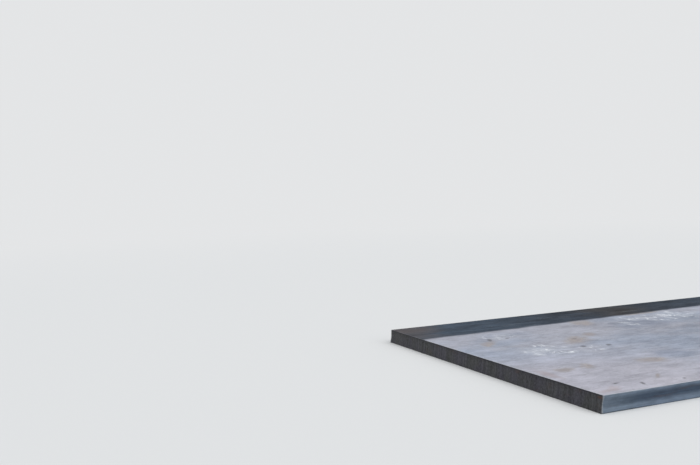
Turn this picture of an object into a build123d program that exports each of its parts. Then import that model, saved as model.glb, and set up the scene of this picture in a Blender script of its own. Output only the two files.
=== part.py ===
"""Hot-rolled steel plate with rolled mill edges along its two long sides and flame-cut ends.

Millimetres. +X runs along the rolling direction, +Y across the plate and +Z up.
The origin is the centre of the underside.
"""
from build123d import *
import os

# The plate, over the lips of its mill edges and the sharp feet of its cut ends
length = 2000.0
width = 1000.0
thickness = 40.0

# Mill edge: the rolls leave an upper land and a lower lip, and a shallow hollow between them
upper_land = 8.0              # height of the land above the hollow
lower_lip = 5.0               # height of the lip under the hollow
hollow_floor = 16.0           # height of the hollow's deepest line above the underside
hollow_depth = 2.2            # depth of the hollow behind the lip and the land
lip_blend = 10.0              # radius that runs the hollow out into the lip and the land
lower_round = 2.2             # radius from the lower lip to the underside

# Flame cut: the torch leans a little and washes out the middle of the face
cut_lean = 5.0                # how far the top of an end stands back from its foot
cut_wash = 0.5                # depth of the long hollow down the cut face
cut_round = 1.4               # radius along the foot of an end and up its two corners

# The edge all round the top face, rolled along the sides and melted along the ends
top_round = 1.8

half_length = length / 2
half_width = width / 2


def outer_corner(section, level):
    """The corner of a half section that lies furthest out at one level, counted from the underside."""
    return section.vertices().group_by(Axis.Y)[level].sort_by(Axis.X)[-1]


# Cross section of the rolled strip: one half is drawn, rounded and mirrored
with BuildSketch(Plane.YZ) as rolled_section:
    with BuildLine():
        deepest = (half_width - hollow_depth, hollow_floor)
        lower_flank = TangentArc(deepest, (half_width, lower_lip), tangent=(0, -1))
        upper_flank = TangentArc(deepest, (half_width, thickness - upper_land), tangent=(0, 1))
        Polyline(lower_flank @ 1, (half_width, 0), (0, 0), (0, thickness), (half_width, thickness), upper_flank @ 1)
    make_face()
    fillet([outer_corner(rolled_section, 1), outer_corner(rolled_section, 3)], lip_blend)
    fillet(outer_corner(rolled_section, 0), lower_round)
    mirror(about=Plane.YZ)

# Lengthwise section: both ends are cut by the same torch
with BuildSketch(Plane.XZ) as cut_section:
    with BuildLine():
        underside = Line((0, 0), (half_length, 0))
        cut = ThreePointArc(
            underside @ 1,
            (half_length - cut_lean / 2 - cut_wash, thickness / 2),
            (half_length - cut_lean, thickness),
        )
        Polyline(cut @ 1, (0, thickness), (0, 0))
    make_face()
    mirror(about=Plane.YZ)

with BuildPart() as steel_plate:
    extrude(rolled_section.sketch, amount=half_length, both=True)
    extrude(cut_section.sketch, amount=half_width, both=True, mode=Mode.INTERSECT)
    for end in (0, -1):
        cut_outline = steel_plate.faces().sort_by(Axis.X)[end].edges().sort_by(Axis.Z)
        fillet(cut_outline[:-1], cut_round)
    top_face = steel_plate.faces().sort_by(Axis.Z)[-1]
    fillet(top_face.edges(), top_round)

steel_plate.part.label = "steel_plate"

os.makedirs("parts", exist_ok=True)
export_step(steel_plate.part, "parts/steel_plate.step")
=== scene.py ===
"""Looks of the steel plate: a detailed mesh over the plain solid, its three surfaces, light and camera.

Metres, in the part's own frame: +X along the plate, +Y across it, +Z up, underside on the floor at z = 0.
"""
import math

import bpy
from mathutils import Matrix, Vector, noise


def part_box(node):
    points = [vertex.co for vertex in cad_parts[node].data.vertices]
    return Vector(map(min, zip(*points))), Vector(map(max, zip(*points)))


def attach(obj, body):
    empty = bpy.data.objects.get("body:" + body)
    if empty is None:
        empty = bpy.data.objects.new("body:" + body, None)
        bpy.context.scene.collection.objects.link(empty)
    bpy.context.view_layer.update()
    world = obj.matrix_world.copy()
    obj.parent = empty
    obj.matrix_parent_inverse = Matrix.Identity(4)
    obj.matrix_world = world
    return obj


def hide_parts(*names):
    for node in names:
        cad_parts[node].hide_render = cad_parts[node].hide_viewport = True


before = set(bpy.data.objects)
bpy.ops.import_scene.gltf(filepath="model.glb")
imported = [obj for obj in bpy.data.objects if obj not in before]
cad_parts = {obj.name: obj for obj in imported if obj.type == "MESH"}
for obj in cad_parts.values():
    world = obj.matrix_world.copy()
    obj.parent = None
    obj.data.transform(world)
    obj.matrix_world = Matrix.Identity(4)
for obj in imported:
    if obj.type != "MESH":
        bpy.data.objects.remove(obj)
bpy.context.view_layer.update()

MM = 0.001
HALF_LENGTH, HALF_WIDTH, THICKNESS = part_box("steel_plate")[1]

# Mill edge of the long sides, as in the solid
UPPER_LAND = 8.0 * MM
LOWER_LIP = 5.0 * MM
HOLLOW_FLOOR = 16.0 * MM
HOLLOW_DEPTH = 2.2 * MM
LOWER_ROUND = 2.2 * MM
LIP_SOFTNESS = 0.16           # share of the hollow's depth over which it runs out into the lips

# Flame cut of the ends, as in the solid
CUT_LEAN = 5.0 * MM
CUT_WASH = 0.5 * MM
CUT_ROUND = 1.4 * MM

TOP_ROUND = 1.8 * MM
ROLLED_SHARE = 0.45           # share of the top round, from the top down, that looks like the rolled face

# Relief that the solid leaves out
EDGE_RELIEF = 0.4 * MM        # mean depth of the relief of the edges, which keeps it inside the solid
DRAG_TRAIL = 7.0 * MM         # how far the drag lines lag behind at the foot of a cut
BRUISE_DEPTH = 2.4 * MM
BRUISE_REACH = 5.0 * MM       # how far bruises and softened relief reach down from the top edge
FLAT_RIM = 5.0 * MM           # the top face stays level this far in from its edges
FLAT_BLEND = 60.0 * MM        # and over this far it passes into its waves
FLAT_WAVE = 0.25 * MM

# Layers of drag lines: seed, depth, distance between lines, and how much they change down the cut
DRAG_LAYERS = (
    (3, 0.10 * MM, 3.2 * MM, 0.6),
    (5, 0.10 * MM, 7.5 * MM, 0.5),
    (7, 0.20 * MM, 45.0 * MM, 0.8),
)

# Steps of the mesh: an end is divided finely enough for its drag lines
END_STEPS = 1000
SIDE_STEPS = 240
CORNER_STEPS = 4
WALL_STEPS = 20
ROUND_STEPS = 5

# Rings that thin the mesh out towards the middle of a face: inset, steps along an end, steps along a side
THINNING = (
    (2.2 * MM, END_STEPS, SIDE_STEPS),
    (5.0 * MM, END_STEPS // 2, SIDE_STEPS),
    (10.0 * MM, END_STEPS // 4, SIDE_STEPS // 2),
    (22.0 * MM, END_STEPS // 8, SIDE_STEPS // 2),
    (45.0 * MM, END_STEPS // 20, 100),
)

# Kinds of surface, in the order of the mesh's material slots
ROLLED, MILL, CUT = range(3)

# Depth of the marks on the top face, so great that the face's waves and rounds don't thin them out
PATCH_DEPTH = 50.0 * MM


# The mesh

def wave(seed, x, y=0.0, z=0.0):
    """Smooth noise from -1 to 1, a different one for each seed."""
    return noise.noise(Vector((x + 17.3 * seed, y - 9.1 * seed, z + 4.7 * seed)))


def round_inset(height, radius):
    """How far a quarter round stands back at a height above the face that it starts from."""
    if height >= radius:
        return 0.0
    return radius - math.sqrt(radius ** 2 - (radius - height) ** 2)


def side_inset(z):
    """How far the mill edge stands back from its widest point at height z: two flanks meet in the hollow."""
    reach = THICKNESS - UPPER_LAND - HOLLOW_FLOOR if z > HOLLOW_FLOOR else HOLLOW_FLOOR - LOWER_LIP
    radius = (reach ** 2 + HOLLOW_DEPTH ** 2) / (2 * HOLLOW_DEPTH)
    across = z - HOLLOW_FLOOR
    arc = math.sqrt(max(radius ** 2 - across ** 2, 0.0)) - (radius - HOLLOW_DEPTH)
    soft = LIP_SOFTNESS * HOLLOW_DEPTH
    hollow = soft * math.log1p(math.exp(arc / soft))
    return hollow + round_inset(z, LOWER_ROUND) + round_inset(THICKNESS - z, TOP_ROUND)


def end_inset(z):
    """How far a flame-cut end stands back from its foot at height z."""
    share = z / THICKNESS
    leaning = CUT_LEAN * share + CUT_WASH * 4 * share * (1 - share)
    return leaning + round_inset(z, CUT_ROUND) + round_inset(THICKNESS - z, TOP_ROUND)


def edge_heights():
    """Heights of the rings from the underside to the top face, closer together in the rounds."""
    steps = [math.pi / 2 * i / ROUND_STEPS for i in range(ROUND_STEPS)]
    foot = [LOWER_ROUND * (1 - math.cos(a)) for a in steps]
    wall = THICKNESS - TOP_ROUND - LOWER_ROUND
    straight = [LOWER_ROUND + wall * i / WALL_STEPS for i in range(WALL_STEPS)]
    head = [THICKNESS - TOP_ROUND * (1 - math.sin(a)) for a in steps]
    return foot + straight + head + [THICKNESS]


def drag_relief(y, z, end):
    """Depth of the torch's drag lines: fine grooves that trail near the foot, and deeper hesitations."""
    fall = 1 - z / THICKNESS
    along = y + DRAG_TRAIL * fall * fall
    hesitation = max(0.0, wave(9 + end, along / (14 * MM), 0.2 * fall) - 0.38)
    depth = EDGE_RELIEF + 0.9 * MM * hesitation
    for seed, strength, pitch, change in DRAG_LAYERS:
        depth += strength * wave(seed + end, along / pitch, change * fall)
    return depth


def mill_relief(x, z, side):
    """Unevenness of a mill edge: long shallow waves, and laps that run along it."""
    long_wave = 0.22 * MM * wave(21 + side, x / 0.19, z / 0.03)
    laps = 0.16 * MM * wave(23 + side, x / 0.11, z / 0.0045)
    return EDGE_RELIEF + long_wave + laps


def nick_relief(x, y, z):
    """Small bruises along the top edge, from chains and handling."""
    bruise = max(0.0, wave(31, x / 0.017, y / 0.017) - 0.42)
    return BRUISE_DEPTH * bruise * max(0.0, 1 - (THICKNESS - z) / BRUISE_REACH)


def edge_ring(z):
    """Points round the plate at one height, counter-clockwise, as four runs that share corner points."""
    half_x = HALF_LENGTH - end_inset(z)
    half_y = HALF_WIDTH - side_inset(z)
    runs = []
    for quarter, steps in enumerate((END_STEPS, SIDE_STEPS) * 2):
        facing = math.pi / 2 * quarter
        nx, ny = round(math.cos(facing)), round(math.sin(facing))
        reach, span = (half_x, half_y) if nx else (half_y, half_x)
        run = span - CUT_ROUND
        points = []
        for i in range(CORNER_STEPS // 2, CORNER_STEPS):
            turned = facing - math.pi / 2 * (1 - i / CORNER_STEPS)
            points.append((reach - CUT_ROUND, -run, turned, CUT_ROUND))
        for i in range(steps + 1):
            points.append((reach, -run + 2 * run * i / steps, facing, 0.0))
        for i in range(1, CORNER_STEPS // 2 + 1):
            turned = facing + math.pi / 2 * i / CORNER_STEPS
            points.append((reach - CUT_ROUND, run, turned, CUT_ROUND))
        runs.append([edge_point(p, nx, ny, z) for p in points])
    return runs


def edge_point(point, nx, ny, z):
    """One vertex: out along the side that faces (nx, ny), along it, and the relief of its surface."""
    out, along, facing, radius = point
    ox, oy = math.cos(facing), math.sin(facing)
    x = nx * out - ny * along + radius * ox
    y = ny * out + nx * along + radius * oy
    depth = ox * ox * drag_relief(y, z, ox > 0) + oy * oy * mill_relief(x, z, oy > 0)
    calm = 0.3 + 0.7 * min(1.0, (THICKNESS - z) / BRUISE_REACH)
    depth = depth * calm + nick_relief(x, y, z)
    return Vector((x - ox * depth, y - oy * depth, z))


class PlateMesh:
    """Vertices and faces of the plate, welded as they are made."""

    def __init__(self):
        self.points = []
        self.faces = []
        self.kinds = []

    def add_runs(self, runs):
        """Adds a ring given as four runs, and returns the runs as vertex numbers."""
        numbered = []
        first = len(self.points)
        for run in runs:
            start = len(self.points)
            self.points.extend(run[:-1])
            numbered.append(list(range(start, len(self.points))))
        for i, run in enumerate(numbered):
            run.append(numbered[(i + 1) % 4][0] if i < 3 else first)
        return numbered

    def wall(self, lower, upper, kinds):
        """Quads between two rings with the same steps; kinds gives the surface of ends and of sides."""
        for i, (below, above) in enumerate(zip(lower, upper)):
            for j in range(len(below) - 1):
                self.faces.append((below[j], below[j + 1], above[j + 1], above[j]))
                self.kinds.append(kinds[i % 2])

    def zip_runs(self, outer, inner, axis, upward):
        """Joins two runs with different steps, taking whichever next point comes first along the axis."""
        outer_place = [abs(self.points[n][axis] - self.points[outer[0]][axis]) for n in outer]
        inner_place = [abs(self.points[n][axis] - self.points[outer[0]][axis]) for n in inner]
        i = j = 0
        while i < len(outer) - 1 or j < len(inner) - 1:
            out_next = outer_place[i + 1] if i < len(outer) - 1 else math.inf
            in_next = inner_place[j + 1] if j < len(inner) - 1 else math.inf
            if i < len(outer) - 1 and (out_next <= in_next or j == len(inner) - 1):
                face = (outer[i], outer[i + 1], inner[j])
                i += 1
            else:
                face = (outer[i], inner[j + 1], inner[j])
                j += 1
            self.faces.append(face if upward else face[::-1])
            self.kinds.append(ROLLED)

    def cap(self, ring, z, upward):
        """Closes a face of the plate from its edge ring inwards, down to a plain grid."""
        half_x = HALF_LENGTH - end_inset(z)
        half_y = HALF_WIDTH - side_inset(z)
        for inset, end_steps, side_steps in THINNING:
            inner = self.add_runs(face_ring(half_x - inset, half_y - inset, z, end_steps, side_steps))
            for i in range(4):
                self.zip_runs(ring[i], inner[i], (i + 1) % 2, upward)
            ring = inner
        self.grid(ring, z, upward)

    def grid(self, ring, z, upward):
        """Fills the innermost ring of a face with quads."""
        right, back, left, front = ring
        rows = [front]
        for i in range(1, len(right) - 1):
            row = [left[-1 - i]]
            y = self.points[right[i]].y
            for n in front[1:-1]:
                row.append(len(self.points))
                self.points.append(face_point(self.points[n].x, y, z))
            rows.append(row + [right[i]])
        rows.append(back[::-1])
        for lower, upper in zip(rows, rows[1:]):
            for i in range(len(lower) - 1):
                face = (lower[i], lower[i + 1], upper[i + 1], upper[i])
                self.faces.append(face if upward else face[::-1])
                self.kinds.append(ROLLED)


def face_point(x, y, z):
    """A point of a broad face. The top one is a little out of flat, as rolled plate is."""
    if z < THICKNESS / 2:
        return Vector((x, y, z))
    reach = min(HALF_LENGTH - abs(x), HALF_WIDTH - abs(y))
    calm = min(1.0, max(0.0, (reach - FLAT_RIM) / FLAT_BLEND))
    return Vector((x, y, z - calm * FLAT_WAVE * (1 + wave(41, x / 0.35, y / 0.22))))


def face_ring(half_x, half_y, z, end_steps, side_steps):
    """Points of a rectangle on a broad face, counter-clockwise, as four runs that share their corners."""
    corners = ((half_x, -half_y), (half_x, half_y), (-half_x, half_y), (-half_x, -half_y))
    runs = []
    for i, steps in enumerate((end_steps, side_steps) * 2):
        (ax, ay), (bx, by) = corners[i], corners[(i + 1) % 4]
        shares = [k / steps for k in range(steps + 1)]
        runs.append([face_point(ax + (bx - ax) * share, ay + (by - ay) * share, z) for share in shares])
    return runs


def make_plate(materials):
    """The plate as one closed mesh with its materials."""
    mesh = PlateMesh()
    heights = edge_heights()
    rings = [mesh.add_runs(edge_ring(z)) for z in heights]
    for height, lower, upper in zip(heights, rings, rings[1:]):
        on_top = height > THICKNESS - TOP_ROUND * ROLLED_SHARE
        mesh.wall(lower, upper, (ROLLED, ROLLED) if on_top else (CUT, MILL))
    mesh.cap(rings[0], 0.0, upward=False)
    mesh.cap(rings[-1], THICKNESS, upward=True)

    data = bpy.data.meshes.new("plate")
    data.from_pydata(mesh.points, [], mesh.faces)
    for material in materials:
        data.materials.append(material)
    data.polygons.foreach_set("material_index", mesh.kinds)
    data.polygons.foreach_set("use_smooth", [True] * len(mesh.faces))
    data.validate()
    plate = bpy.data.objects.new("plate", data)
    bpy.context.scene.collection.objects.link(plate)
    print("plate:", len(mesh.points), "vertices,", sum(len(f) - 2 for f in mesh.faces), "triangles")
    return plate


# Materials

class Surface:
    """One material's node tree, with a short method for each kind of node that the steel needs."""

    def __init__(self, name):
        self.material = bpy.data.materials.new(name)
        self.material.use_nodes = True
        self.tree = self.material.node_tree
        self.tree.nodes.clear()
        self.place = self.node("ShaderNodeTexCoord").outputs["Object"]

    def node(self, kind, inputs=None, **settings):
        made = self.tree.nodes.new(kind)
        for key, value in settings.items():
            setattr(made, key, value)
        for key, value in (inputs or {}).items():
            self.give(made.inputs[key], value)
        return made

    def give(self, socket, value):
        if isinstance(value, bpy.types.NodeSocket):
            self.tree.links.new(value, socket)
        else:
            socket.default_value = value

    def axis(self, name):
        return self.node("ShaderNodeSeparateXYZ", {0: self.place}).outputs[name]

    def own_frame(self, scale, turn=0.0, centre=(0, 0, 0), place=None):
        """Coordinates in a frame that lies at centre, is turned about +Z and counts in units of scale."""
        inputs = {
            "Vector": place or self.place,
            "Location": centre,
            "Rotation": (0, 0, math.radians(turn)),
            "Scale": scale,
        }
        return self.node("ShaderNodeMapping", inputs, vector_type="TEXTURE").outputs[0]

    def noise(self, scale, detail=3.0, roughness=0.55, shift=(0, 0, 0), distortion=0.0):
        """Noise from 0 to 1 with so many cells a metre along x, y and z."""
        stretched = self.node("ShaderNodeMapping", {"Vector": self.place, "Scale": scale, "Location": shift})
        inputs = {
            "Vector": stretched.outputs[0],
            "Scale": 1.0,
            "Detail": detail,
            "Roughness": roughness,
            "Distortion": distortion,
        }
        return self.node("ShaderNodeTexNoise", inputs).outputs["Fac"]

    def lines(self, scale, **how):
        """The distance from the level lines of a noise: 0 on thin lines that wander over the surface."""
        return self.math("ABSOLUTE", self.math("SUBTRACT", self.noise(scale, **how), 0.5))

    def math(self, operation, a, b=0.0):
        return self.node("ShaderNodeMath", {0: a, 1: b}, operation=operation).outputs[0]

    def vector_math(self, operation, a, b=(0, 0, 0)):
        made = self.node("ShaderNodeVectorMath", {0: a, 1: b}, operation=operation)
        return made.outputs["Value" if operation == "LENGTH" else "Vector"]

    def step(self, value, start, end, low=0.0, high=1.0):
        """A smooth step of value from low at start to high at end."""
        inputs = {"Value": value, "From Min": start, "From Max": end, "To Min": low, "To Max": high}
        return self.node("ShaderNodeMapRange", inputs, interpolation_type="SMOOTHSTEP").outputs["Result"]

    def mix(self, share, a, b):
        """Colour a where share is 0 and b where it is 1."""
        made = self.node("ShaderNodeMix", {"Factor": share}, data_type="RGBA")
        self.give(made.inputs[6], a if isinstance(a, bpy.types.NodeSocket) else (*a, 1.0))
        self.give(made.inputs[7], b if isinstance(b, bpy.types.NodeSocket) else (*b, 1.0))
        return made.outputs[2]

    def shade(self, colour, amount):
        """Colour times a grey amount."""
        grey = self.node("ShaderNodeCombineXYZ", {0: amount, 1: amount, 2: amount}).outputs[0]
        return self.vector_math("MULTIPLY", colour, grey)

    def add(self, first, *others):
        for other in others:
            first = self.math("ADD", first, other)
        return first

    def times(self, first, *others):
        for other in others:
            first = self.math("MULTIPLY", first, other)
        return first

    def along(self):
        """Distance from the left end of the plate."""
        return self.math("ADD", self.axis("X"), HALF_LENGTH)

    def inside(self, reach, name):
        """Distance inwards from the two edges that lie at plus and minus reach along an axis."""
        return self.math("SUBTRACT", reach, self.math("ABSOLUTE", self.axis(name)))

    def ramp(self, value, stops):
        """Colours given as (place, colour) stops from 0 to 1."""
        made = self.node("ShaderNodeValToRGB", {"Fac": value})
        elements = made.color_ramp.elements
        while len(elements) < len(stops):
            elements.new(0.5)
        for element, (place, tint) in zip(elements, stops):
            element.position = place
            element.color = (*tint, 1.0)
        return made.outputs["Color"]

    def shaken(self, scale, reach):
        """The place on the plate, shifted by noise, so that a plain outline turns ragged."""
        made = self.node("ShaderNodeTexNoise", {"Vector": self.place, "Scale": scale, "Detail": 2.0})
        centred = self.vector_math("SUBTRACT", made.outputs["Color"], (0.5, 0.5, 0.5))
        shift = self.vector_math("MULTIPLY", centred, (reach, reach, 0.0))
        return self.vector_math("ADD", self.place, shift)

    def blob(self, centre, reach, turn=0.0, place=None, core=0.25):
        """1 in the middle of an ellipsoid, falling to 0 at its reach."""
        distance = self.vector_math("LENGTH", self.own_frame(reach, turn, centre, place))
        return self.step(distance, core, 1.0, 1.0, 0.0)

    def patch(self, centre, reach, turn=0.0, **how):
        """A blob on the top face, given in the plane of that face."""
        return self.blob((*centre, THICKNESS), (*reach, PATCH_DEPTH), turn, **how)

    def patches(self, spots, **how):
        """The union of several patches."""
        mask = self.patch(*spots[0], **how)
        for spot in spots[1:]:
            mask = self.math("MAXIMUM", mask, self.patch(*spot, **how))
        return mask

    def dashes(self, room, turns, place):
        """1 on short dashes, one to each cell of the given length and width, for each way that they turn."""
        nearest = 1.0
        for turn in turns:
            inputs = {"Vector": self.own_frame((*room, 1.0), turn, place=place), "Scale": 1.0}
            cells = self.node("ShaderNodeTexVoronoi", inputs, voronoi_dimensions="2D")
            nearest = self.math("MINIMUM", nearest, cells.outputs["Distance"])
        return self.step(nearest, 0.02, 0.17, 1.0, 0.0)

    def bump(self, height, distance, strength=1.0, under=None):
        inputs = {"Height": height, "Distance": distance, "Strength": strength}
        if under is not None:
            inputs["Normal"] = under
        return self.node("ShaderNodeBump", inputs).outputs[0]

    def finish(self, colour, roughness, normal, metallic, specular):
        shader = self.node("ShaderNodeBsdfPrincipled", {
            "Base Color": colour,
            "Roughness": roughness,
            "Metallic": metallic,
            "Specular IOR Level": specular,
            "Normal": normal,
        })
        self.node("ShaderNodeOutputMaterial", {"Surface": shader.outputs[0]})
        return self.material


def from_corner(x, y):
    """A place on the top face, given from its near left corner."""
    return (x - HALF_LENGTH, y - HALF_WIDTH)


# Marks on the top face: place, half length and half width, and how far the length is turned from +X.
# Those in the left half follow the photograph, those in the right half are in the same manner
SCUFFED = (
    (from_corner(0.21, 0.71), (0.08, 0.07)),
    (from_corner(0.21, 0.46), (0.10, 0.11)),
    (from_corner(0.33, 0.42), (0.07, 0.05)),
    (from_corner(0.68, 0.67), (0.04, 0.06)),
    (from_corner(0.75, 0.75), (0.05, 0.07)),
    (from_corner(0.84, 0.72), (0.10, 0.10)),
    (from_corner(0.94, 0.72), (0.11, 0.11)),
    (from_corner(1.32, 0.34), (0.15, 0.07), 25),
    (from_corner(1.74, 0.60), (0.07, 0.13), -20),
)
RUST_STAINS = (
    (from_corner(0.37, 0.54), (0.09, 0.05), 45),
    (from_corner(0.45, 0.59), (0.05, 0.03), 45),
    (from_corner(0.09, 0.24), (0.04, 0.03), 40),
    (from_corner(0.16, 0.25), (0.04, 0.03), 60),
    (from_corner(0.34, 0.22), (0.06, 0.05)),
    (from_corner(0.13, 0.62), (0.06, 0.03), 55),
    (from_corner(0.23, 0.08), (0.04, 0.01), 45),
    (from_corner(0.57, 0.77), (0.08, 0.05), 50),
    (from_corner(0.85, 0.81), (0.10, 0.02)),
    (from_corner(1.30, 0.72), (0.13, 0.06), 15),
    (from_corner(1.58, 0.16), (0.11, 0.05), -10),
    (from_corner(1.83, 0.42), (0.07, 0.05)),
)
RED_STAINS = (
    (from_corner(0.05, 0.03), (0.06, 0.02), 20),
    (from_corner(0.03, 0.22), (0.02, 0.08)),
    (from_corner(1.00, 0.24), (0.12, 0.05), -15),
    (from_corner(1.90, 0.10), (0.06, 0.04), 30),
)
FLECKS = (
    (from_corner(0.32, 0.45), (0.018, 0.012), 40),
    (from_corner(0.39, 0.43), (0.020, 0.011), 50),
    (from_corner(0.10, 0.07), (0.016, 0.007), 15),
    (from_corner(0.15, 0.04), (0.022, 0.006), 65),
    (from_corner(0.26, 0.03), (0.010, 0.006), 40),
    (from_corner(0.16, 0.67), (0.030, 0.010), 65),
    (from_corner(0.22, 0.67), (0.015, 0.008), 35),
)
PALE_CORNER = (from_corner(0.12, 0.06), (0.55, 0.50))
BROWN_CORNER = (from_corner(0.05, 0.96), (0.14, 0.12))
PALE_AREAS = (
    (from_corner(0.02, 0.54), (0.15, 0.26)),
    (from_corner(0.13, 0.36), (0.12, 0.09)),
    (from_corner(1.46, 0.66), (0.20, 0.12)),
)
BLUE_AREAS = (
    (from_corner(0.72, 0.66), (0.18, 0.09)),
    (from_corner(0.44, 0.25), (0.10, 0.06)),
    (from_corner(1.50, 0.48), (0.20, 0.10), 10),
)
DULL_AREAS = (
    (from_corner(0.16, 0.67), (0.08, 0.06)),
    (from_corner(0.74, 0.64), (0.22, 0.12)),
    (from_corner(0.62, 0.70), (0.20, 0.12)),
    (from_corner(0.80, 0.52), (0.42, 0.30)),
    (from_corner(1.62, 0.36), (0.36, 0.26)),
)

# The darker strip along the back, partly clean scale and partly painted shade: where it starts at the left
# end, and its slope
STRIP_START = 0.782 - HALF_WIDTH
STRIP_SLOPE = 0.040

# Its colours, dark scale with painted shade in them, from the left end of the plate to the right end
STRIP_GREY = (0.070, 0.070, 0.080)
STRIP_BLUE = (0.048, 0.065, 0.090)
STRIP_DARK = (0.030, 0.038, 0.052)
STRIP_OLIVE = (0.047, 0.046, 0.048)
STRIP_BROWN = (0.110, 0.096, 0.098)
STRIP_COLOURS = (
    (0.00, STRIP_GREY),
    (0.07, STRIP_BLUE),
    (0.16, STRIP_BLUE),
    (0.34, STRIP_DARK),
    (0.41, STRIP_OLIVE),
    (0.50, STRIP_DARK),
    (0.76, STRIP_BLUE),
    (1.00, STRIP_GREY),
)

# Fine strokes in the scuffed areas: the room of each along and across it, and their turns from +X
STROKE_ROOM = (0.14, 0.036)
STROKE_TURNS = (-108, -72, -34)

# Colours of the film on the face, of its stains and of its worn places; the bright rim is partly a painted
# highlight
BLUE_FILM = (0.312, 0.346, 0.429)
DULL_BLUE = (0.262, 0.293, 0.374)
PALE_FILM = (0.385, 0.390, 0.450)
PINK_FILM = (0.470, 0.450, 0.505)
FADED_RUST = (0.335, 0.308, 0.314)
STAIN_CORE = (0.225, 0.208, 0.220)
OCHRE = (0.440, 0.375, 0.330)
REDDISH = (0.390, 0.315, 0.320)
CHALK = (0.800, 0.815, 0.850)
RUBBED_RIM_AND_HIGHLIGHT = (0.500, 0.515, 0.550)
FLECK_BLACK = (0.110, 0.110, 0.120)


def film_colour(s, top, mottle, streaks):
    """A film of pale dust over blue scale, cloudy, mottled and flaked."""
    clouds = s.noise((1.7, 2.6, 1), detail=6, roughness=0.62)
    flakes = s.noise((34, 60, 1), detail=5, roughness=0.6, shift=(5, 2, 6))
    flake_rims = s.lines((11, 26, 1), detail=3.0, distortion=0.6, shift=(8, 3, 1))
    speckle = s.noise((170, 210, 1), detail=3, shift=(7, 5, 0))
    film = s.mix(s.step(clouds, 0.40, 0.60), BLUE_FILM, PALE_FILM)
    film = s.mix(s.times(s.patch(*PALE_CORNER), top, 0.75), film, PINK_FILM)
    blue = s.times(s.patches(BLUE_AREAS, place=s.shaken(9.0, 0.10)), top, 0.75)
    film = s.mix(blue, film, DULL_BLUE)
    tone = s.add(
        s.step(mottle, 0.3, 0.7, 0.85, 1.15),
        s.step(flakes, 0.46, 0.54, -0.035, 0.035),
        s.times(s.step(flake_rims, 0.004, 0.020, 1.0, 0.0), -0.10),
        s.step(streaks, 0.3, 0.7, -0.05, 0.05),
        s.step(speckle, 0.3, 0.7, -0.05, 0.05),
        s.times(s.patches(PALE_AREAS), top, 0.10),
        s.times(s.patches(DULL_AREAS), top, -0.12),
    )
    return s.shade(film, tone)


def stained(s, top, film):
    """The film with rust stains, which have dark cores and ochre veins, a faint bloom and red tinges."""
    blots = s.step(s.noise((16, 26, 1), detail=6, roughness=0.68, shift=(2, 2, 0)), 0.32, 0.48)
    bloom = s.step(s.noise((4, 7, 1), detail=6, roughness=0.65, shift=(9, 2, 4)), 0.56, 0.72)
    stain = s.times(s.patches(RUST_STAINS, place=s.shaken(14.0, 0.05)), blots, top)
    film = s.mix(s.math("MAXIMUM", stain, s.times(bloom, 0.25)), film, FADED_RUST)
    cores = s.step(s.noise((26, 44, 1), detail=4, roughness=0.6, shift=(6, 2, 5)), 0.54, 0.68, 0.0, 0.7)
    film = s.mix(s.times(stain, cores), film, STAIN_CORE)
    level_lines = s.lines((13, 24, 1), detail=4, distortion=0.5, shift=(7, 1, 6))
    veins = s.step(level_lines, 0.004, 0.020, 0.7, 0.0)
    film = s.mix(s.times(stain, veins), film, OCHRE)
    red = s.times(s.patches(RED_STAINS, place=s.shaken(18.0, 0.04)), top, 0.45)
    return s.mix(red, film, REDDISH)


def back_strip_and_shade(s, top):
    """1 on the darker strip along the back, partly clean scale and partly painted shade, with a soft,
    slightly wandering edge.
    """
    strip_edge = s.add(s.times(s.along(), STRIP_SLOPE), STRIP_START)
    wander = s.step(s.noise((9, 9, 1), shift=(1, 8, 2)), 0.3, 0.7, -0.004, 0.004)
    past_edge = s.math("SUBTRACT", s.add(s.axis("Y"), wander), strip_edge)
    return s.times(s.step(past_edge, -0.014, 0.014), top)


def strip_colour(s, mottle, streaks):
    """Dark scale with painted shade in it, changing along the plate, with a brown corner."""
    drift = s.step(s.noise((5, 16, 1), detail=4, shift=(5, 0, 0)), 0.3, 0.7, -0.025, 0.025)
    colour = s.ramp(s.add(s.times(s.along(), 0.5 / HALF_LENGTH), drift), STRIP_COLOURS)
    tone = s.add(s.step(mottle, 0.3, 0.7, 0.70, 1.30), s.step(streaks, 0.3, 0.7, -0.15, 0.15))
    brown = s.times(s.patch(*BROWN_CORNER, place=s.shaken(14.0, 0.05)), 0.7)
    return s.mix(brown, s.shade(colour, tone), STRIP_BROWN)


def scuffed(s, top, colour):
    """The scuffed areas: a chalky haze, wandering rubs and short strokes, all broken up."""
    rubbed = s.times(s.patches(SCUFFED, place=s.shaken(7.0, 0.07)), top)
    haze = s.step(s.noise((14, 12, 1), detail=5, roughness=0.65, shift=(1, 4, 0)), 0.46, 0.66)
    colour = s.mix(s.times(haze, rubbed, 0.35), colour, CHALK)
    squiggle = s.lines((17, 9, 1), detail=2.0, distortion=1.2, shift=(4, 9, 0))
    broken = s.step(s.noise((42, 30, 1), detail=4, shift=(6, 1, 3)), 0.40, 0.56)
    rub = s.times(s.step(squiggle, 0.003, 0.014, 1.0, 0.0), rubbed, broken, 0.85)
    dashes = s.dashes(STROKE_ROOM, STROKE_TURNS, s.shaken(38.0, 0.030))
    stroke = s.times(dashes, s.step(rubbed, 0.15, 0.60), s.step(broken, 0.0, 1.0, 0.35, 0.95))
    return s.mix(s.math("MAXIMUM", rub, stroke), colour, CHALK)


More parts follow.
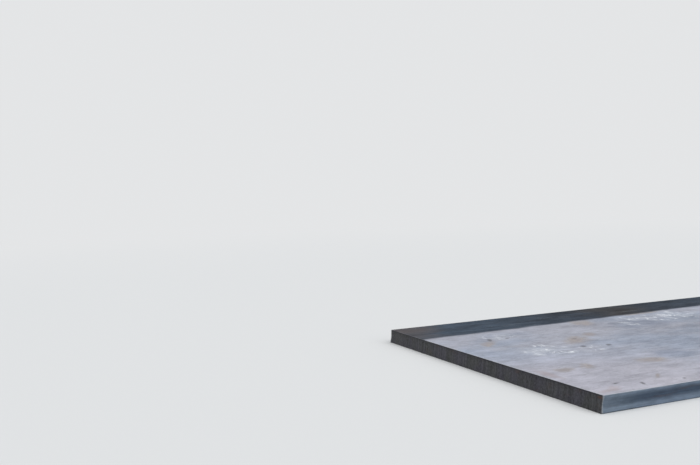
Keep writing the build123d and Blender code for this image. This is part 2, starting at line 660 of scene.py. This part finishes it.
def scratched(s, top, colour):
    """Hair-fine scratches along the plate, and dark flecks and specks."""
    scratches = s.step(s.noise((4, 230, 1), detail=1, shift=(2, 6, 0)), 0.66, 0.74, 0.0, 0.35)
    areas = s.step(s.noise((3, 5, 1), detail=2, shift=(3, 3, 8)), 0.46, 0.60)
    colour = s.mix(s.times(scratches, areas), colour, CHALK)
    specks = s.step(s.noise((70, 90, 1), detail=2, shift=(8, 8, 1)), 0.66, 0.76)
    flecks = s.times(s.patches(FLECKS, place=s.shaken(60.0, 0.012)), top)
    return s.mix(s.math("MAXIMUM", s.times(flecks, 0.75), s.times(specks, 0.35)), colour, FLECK_BLACK)


def rubbed_rims_and_highlight(s, strip, colour):
    """The edges of the face, worn bright in places and partly a painted highlight, less so beside the strip.
    """
    rim_end = s.step(s.inside(HALF_LENGTH - CUT_LEAN, "X"), 0.0012, 0.0032, 1.0, 0.0)
    rim_side = s.step(s.inside(HALF_WIDTH, "Y"), 0.0016, 0.0040, 0.75, 0.0)
    rim_patches = s.step(s.noise((30, 30, 1), detail=3, shift=(2, 7, 7)), 0.38, 0.55, 0.20, 0.85)
    bright = s.step(strip, 0.0, 1.0, 1.0, 0.2)
    # the bright rim is partly rubbed metal and partly a painted highlight of the top edge
    return s.mix(s.times(s.math("MAXIMUM", rim_end, rim_side), rim_patches, bright), colour, RUBBED_RIM_AND_HIGHLIGHT)


def rolled_face():
    """Mill scale under a film of pale dust, with scuffs, rust stains and a dark back strip, partly painted
    shade.
    """
    s = Surface("rolled_face")
    top = s.step(s.axis("Z"), THICKNESS * 0.6, THICKNESS * 0.8)
    mottle = s.noise((9, 16, 1), detail=6, roughness=0.66, shift=(3, 1, 0))
    streaks = s.noise((2.5, 60, 1), detail=4, roughness=0.6, shift=(3, 1, 0))
    strip = back_strip_and_shade(s, top)
    film = stained(s, top, film_colour(s, top, mottle, streaks))
    # the strip's darkness is partly clean scale and partly painted shade
    colour = s.mix(strip, film, strip_colour(s, mottle, streaks))
    colour = scratched(s, top, scuffed(s, top, colour))
    colour = rubbed_rims_and_highlight(s, strip, colour)

    grain = s.noise((420, 420, 420), detail=3)
    pits = s.noise((60, 90, 60), detail=4, shift=(1, 2, 3))
    roughness = s.add(s.step(pits, 0.3, 0.7, 0.48, 0.62), s.times(strip, 0.2))
    normal = s.bump(grain, 0.0003, 0.5, under=s.bump(pits, 0.0010, 0.5))
    return s.finish(colour, roughness, normal, s.step(strip, 0.0, 1.0, 0.15, 0.0), specular=0.05)


# Colours of a mill edge from the underside up to the top face, partly painted shade in the hollow and at the
# foot and painted light on the lips, and of its bare, rubbed places, whose top rim is partly a painted
# highlight
FOOT_SHADE = (0.080, 0.100, 0.130)
LIP_BLUE = (0.145, 0.188, 0.250)
HOLLOW_DARK = (0.052, 0.075, 0.113)
LAND_BLUE = (0.130, 0.170, 0.230)
LAND_EDGE = (0.165, 0.205, 0.260)
RUBBED_EDGE_AND_HIGHLIGHT = (0.300, 0.325, 0.370)
# the bands are partly painted shade in the hollow and painted light on the lips and the top rim
MILL_BANDS = (
    (0.00, FOOT_SHADE),
    (0.08, LIP_BLUE),
    (0.20, LIP_BLUE),
    (0.45, HOLLOW_DARK),
    (0.70, HOLLOW_DARK),
    (0.91, LAND_BLUE),
    (0.96, LAND_EDGE),
    (1.00, RUBBED_EDGE_AND_HIGHLIGHT),
)
MILL_EVEN = (0.165, 0.206, 0.255)
MILL_RUST = (0.088, 0.076, 0.080)
WORN_CORNER_AND_HIGHLIGHT = (0.270, 0.285, 0.310)


def corner_wear_and_highlight(s, height):
    """1 along the upright corners of the plate, where scale is rubbed off and a highlight is painted, and 0
    a few millimetres away.
    """
    to_end = s.math("SUBTRACT", s.inside(HALF_LENGTH, "X"), s.times(height, CUT_LEAN))
    to_side = s.inside(HALF_WIDTH, "Y")
    reach = s.step(s.noise((20, 20, 90), detail=3, shift=(4, 4, 4)), 0.3, 0.7, 0.0028, 0.0060)
    near = s.math("MAXIMUM", to_end, to_side)
    return s.step(s.math("DIVIDE", near, reach), 0.35, 1.0, 1.0, 0.0)


def mill_edge():
    """The long sides: blue-grey scale in bands along the edge, partly painted shade and painted light,
    browner in the hollow.
    """
    s = Surface("mill_edge")
    height = s.math("DIVIDE", s.axis("Z"), THICKNESS)
    wander = s.step(s.noise((5, 5, 40), detail=3), 0.3, 0.7, -0.035, 0.035)
    # bands of scale colour with painted shade in the hollow and painted light on the lips
    colour = s.ramp(s.math("ADD", height, wander), MILL_BANDS)
    by_end = s.step(s.inside(HALF_LENGTH, "X"), 0.0, 0.13, 0.60, 0.0)
    plain = s.step(s.noise((4, 4, 14), detail=3, shift=(6, 1, 2)), 0.45, 0.75, 0.0, 0.20)
    colour = s.mix(s.math("MAXIMUM", by_end, plain), colour, MILL_EVEN)
    streaks = s.noise((6, 6, 420), detail=4, roughness=0.6, shift=(2, 0, 0))
    blotches = s.noise((40, 40, 110), detail=4, shift=(5, 5, 5))
    tone = s.add(s.step(streaks, 0.3, 0.7, 0.86, 1.14), s.step(blotches, 0.3, 0.7, -0.13, 0.13))
    colour = s.shade(colour, tone)
    rust = s.step(s.noise((9, 9, 70), detail=4, shift=(9, 3, 1)), 0.50, 0.68, 0.0, 0.7)
    hollow_only = s.times(s.step(height, 0.25, 0.45), s.step(height, 0.66, 0.86, 1.0, 0.0))
    colour = s.mix(s.times(rust, hollow_only), colour, MILL_RUST)
    # the lighter corner line is partly rubbed scale and partly a painted highlight
    colour = s.mix(s.times(corner_wear_and_highlight(s, height), 0.85), colour, WORN_CORNER_AND_HIGHLIGHT)
    laps = s.noise((9, 9, 650), detail=4, shift=(0, 4, 4))
    grain = s.noise((300, 300, 300), detail=3)
    normal = s.bump(grain, 0.0004, 0.5, under=s.bump(laps, 0.0010, 0.5))
    return s.finish(colour, s.step(streaks, 0.3, 0.7, 0.42, 0.56), normal, metallic=0.10, specular=0.15)


# Colours of a flame cut
CUT_GREY = (0.059, 0.057, 0.070)
CUT_OLIVE = (0.059, 0.060, 0.061)
CUT_UNDER_EDGE = (0.024, 0.024, 0.030)
CUT_FOOT = (0.120, 0.115, 0.110)
CUT_RUST = (0.085, 0.047, 0.036)

# A rusty spot just under the near top corner: its middle and its reach
RUST_SPOT = (
    (-HALF_LENGTH, 9.0 * MM - HALF_WIDTH, THICKNESS - 6.5 * MM),
    (50.0 * MM, 14.0 * MM, 4.5 * MM),
)


def flame_cut():
    """The ends: dark oxide with fine upright drag lines, darker under the melted top edge."""
    s = Surface("flame_cut")
    height = s.math("DIVIDE", s.axis("Z"), THICKNESS)
    lines = s.noise((0, 330, 9), detail=4, roughness=0.7)
    broad = s.noise((0, 40, 12), detail=4, shift=(0, 3, 0))
    torn = s.step(s.noise((0, 150, 26), detail=5, roughness=0.7, shift=(0, 8, 3)), 0.56, 0.66)
    torn = s.times(torn, s.step(s.noise((0, 7, 3), shift=(0, 2, 1)), 0.35, 0.60), -0.50)
    spatter = s.noise((0, 210, 150), detail=4, roughness=0.65, shift=(0, 4, 9))
    bars = s.step(s.noise((0, 95, 5), detail=2, shift=(0, 5, 5)), 0.32, 0.68, -0.20, 0.20)
    band = s.step(height, 0.62, 0.84, 0.05, -0.13)
    tone = s.add(
        s.step(lines, 0.3, 0.7, 0.82, 1.18),
        s.step(broad, 0.3, 0.7, -0.12, 0.12),
        bars,
        s.step(spatter, 0.3, 0.7, -0.34, 0.34),
        torn,
        band,
    )
    tint = s.step(s.noise((0, 14, 8), detail=4, shift=(0, 6, 0)), 0.40, 0.65)
    colour = s.shade(s.mix(tint, CUT_GREY, CUT_OLIVE), tone)
    rust = s.step(s.noise((0, 24, 40), detail=5, roughness=0.65, shift=(0, 1, 7)), 0.56, 0.74, 0.0, 0.45)
    colour = s.mix(rust, colour, CUT_RUST)
    colour = s.mix(s.step(height, 0.86, 0.95, 0.0, 0.8), colour, CUT_UNDER_EDGE)
    colour = s.mix(s.step(height, 0.06, 0.0, 0.0, 0.6), colour, CUT_FOOT)
    colour = s.mix(s.times(s.blob(*RUST_SPOT, core=0.2), 0.85), colour, CUT_RUST)
    # the lighter corner line is partly rubbed scale and partly a painted highlight
    colour = s.mix(s.times(corner_wear_and_highlight(s, height), 0.5), colour, WORN_CORNER_AND_HIGHLIGHT)
    grain = s.noise((260, 260, 260), detail=4)
    normal = s.bump(grain, 0.0004, 0.5, under=s.bump(lines, 0.0008, 0.6))
    return s.finish(colour, s.step(lines, 0.3, 0.7, 0.55, 0.70), normal, metallic=0.15, specular=0.25)


# Floor, light and camera

FLOOR_REACH = 60.0
FLOOR_SIDES = 60
FLOOR_FADE = (2.5, 9.0)       # between these distances the floor fades into the background
FLOOR_GREY = 0.78
BACKGROUND = (0.775, 0.785, 0.795)
SURROUNDINGS = (0.93, 0.97, 1.0)
SURROUNDINGS_STRENGTH = 0.45


def make_floor():
    """A plain pale floor that keeps the plate's shadow and fades into the background far away."""
    s = Surface("floor")
    distance = s.vector_math("LENGTH", s.vector_math("MULTIPLY", s.place, (1, 1, 0)))
    lit = s.node("ShaderNodeBsdfDiffuse", {"Color": (FLOOR_GREY, FLOOR_GREY, FLOOR_GREY, 1.0)})
    far = s.node("ShaderNodeEmission", {"Color": (*BACKGROUND, 1.0), "Strength": 1.0})
    inputs = {0: s.step(distance, *FLOOR_FADE), 1: lit.outputs[0], 2: far.outputs[0]}
    mixed = s.node("ShaderNodeMixShader", inputs)
    s.node("ShaderNodeOutputMaterial", {"Surface": mixed.outputs[0]})
    data = bpy.data.meshes.new("floor")
    turns = [2 * math.pi * i / FLOOR_SIDES for i in range(FLOOR_SIDES)]
    rim = [(FLOOR_REACH * math.cos(a), FLOOR_REACH * math.sin(a), 0.0) for a in turns]
    data.from_pydata(rim, [], [tuple(range(FLOOR_SIDES))])
    data.materials.append(s.material)
    floor = bpy.data.objects.new("floor", data)
    bpy.context.scene.collection.objects.link(floor)


def make_world():
    """Even pale surroundings; the camera and reflections see them in the background's colour."""
    world = bpy.data.worlds.new("studio")
    bpy.context.scene.world = world
    world.use_nodes = True
    nodes, links = world.node_tree.nodes, world.node_tree.links
    nodes.clear()
    path = nodes.new("ShaderNodeLightPath")
    seen = nodes.new("ShaderNodeBackground")
    seen.inputs["Color"].default_value = (*BACKGROUND, 1.0)
    lighting = nodes.new("ShaderNodeBackground")
    lighting.inputs["Color"].default_value = (*SURROUNDINGS, 1.0)
    lighting.inputs["Strength"].default_value = SURROUNDINGS_STRENGTH
    share = path.outputs["Is Camera Ray"]
    for ray in ("Is Glossy Ray", "Is Transmission Ray"):
        sum_node = nodes.new("ShaderNodeMath")
        sum_node.use_clamp = True
        links.new(share, sum_node.inputs[0])
        links.new(path.outputs[ray], sum_node.inputs[1])
        share = sum_node.outputs[0]
    mixed = nodes.new("ShaderNodeMixShader")
    output = nodes.new("ShaderNodeOutputWorld")
    links.new(share, mixed.inputs[0])
    links.new(lighting.outputs[0], mixed.inputs[1])
    links.new(seen.outputs[0], mixed.inputs[2])
    links.new(mixed.outputs[0], output.inputs["Surface"])


def make_sun(name, towards, strength, spread, colour):
    """Soft even light that comes from one side, wide enough to leave no hard shadow."""
    sun = bpy.data.lights.new(name, "SUN")
    sun.energy = strength
    sun.angle = math.radians(spread)
    sun.color = colour
    holder = bpy.data.objects.new(name, sun)
    holder.rotation_euler = Vector(towards).to_track_quat("-Z", "Y").to_euler()
    bpy.context.scene.collection.objects.link(holder)


# The camera, fitted to the plate's edges in the photograph, with its place counted from the near top corner
CAMERA_OFFSET = Vector((-1.1519, -1.3704, 0.4394))
HEADING = 23.391               # degrees from +Y towards +X
LOOK_DOWN = 2.694
ROLL = 1.942                   # the right side of the picture dips by this much
FOCAL_PIXELS = 830.0
PICTURE_WIDTH = 700.0
SENSOR_WIDTH = 36.0


def make_camera():
    """The photograph's view of the near left corner of the plate."""
    data = bpy.data.cameras.new("camera")
    data.sensor_width = SENSOR_WIDTH
    data.lens = FOCAL_PIXELS / PICTURE_WIDTH * SENSOR_WIDTH
    data.clip_end = 200.0
    camera = bpy.data.objects.new("camera", data)
    turn = Matrix.Rotation(math.radians(-HEADING), 4, "Z")
    tilt = Matrix.Rotation(math.radians(90 - LOOK_DOWN), 4, "X")
    roll = Matrix.Rotation(math.radians(-ROLL), 4, "Z")
    corner = Vector((-HALF_LENGTH, -HALF_WIDTH, THICKNESS))
    camera.matrix_world = Matrix.Translation(corner + CAMERA_OFFSET) @ turn @ tilt @ roll
    bpy.context.scene.collection.objects.link(camera)
    bpy.context.scene.camera = camera


plate = make_plate((rolled_face(), mill_edge(), flame_cut()))
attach(plate, "root")
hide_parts("steel_plate")

make_floor()
make_world()
make_sun("overhead", (-0.15, 0.1, -1.0), 1.30, 70.0, (1.0, 1.0, 1.0))
make_sun("front", (-0.35, 0.85, -0.60), 0.80, 50.0, (0.96, 0.98, 1.0))
make_camera()
bpy.context.scene.view_settings.view_transform = "Standard"
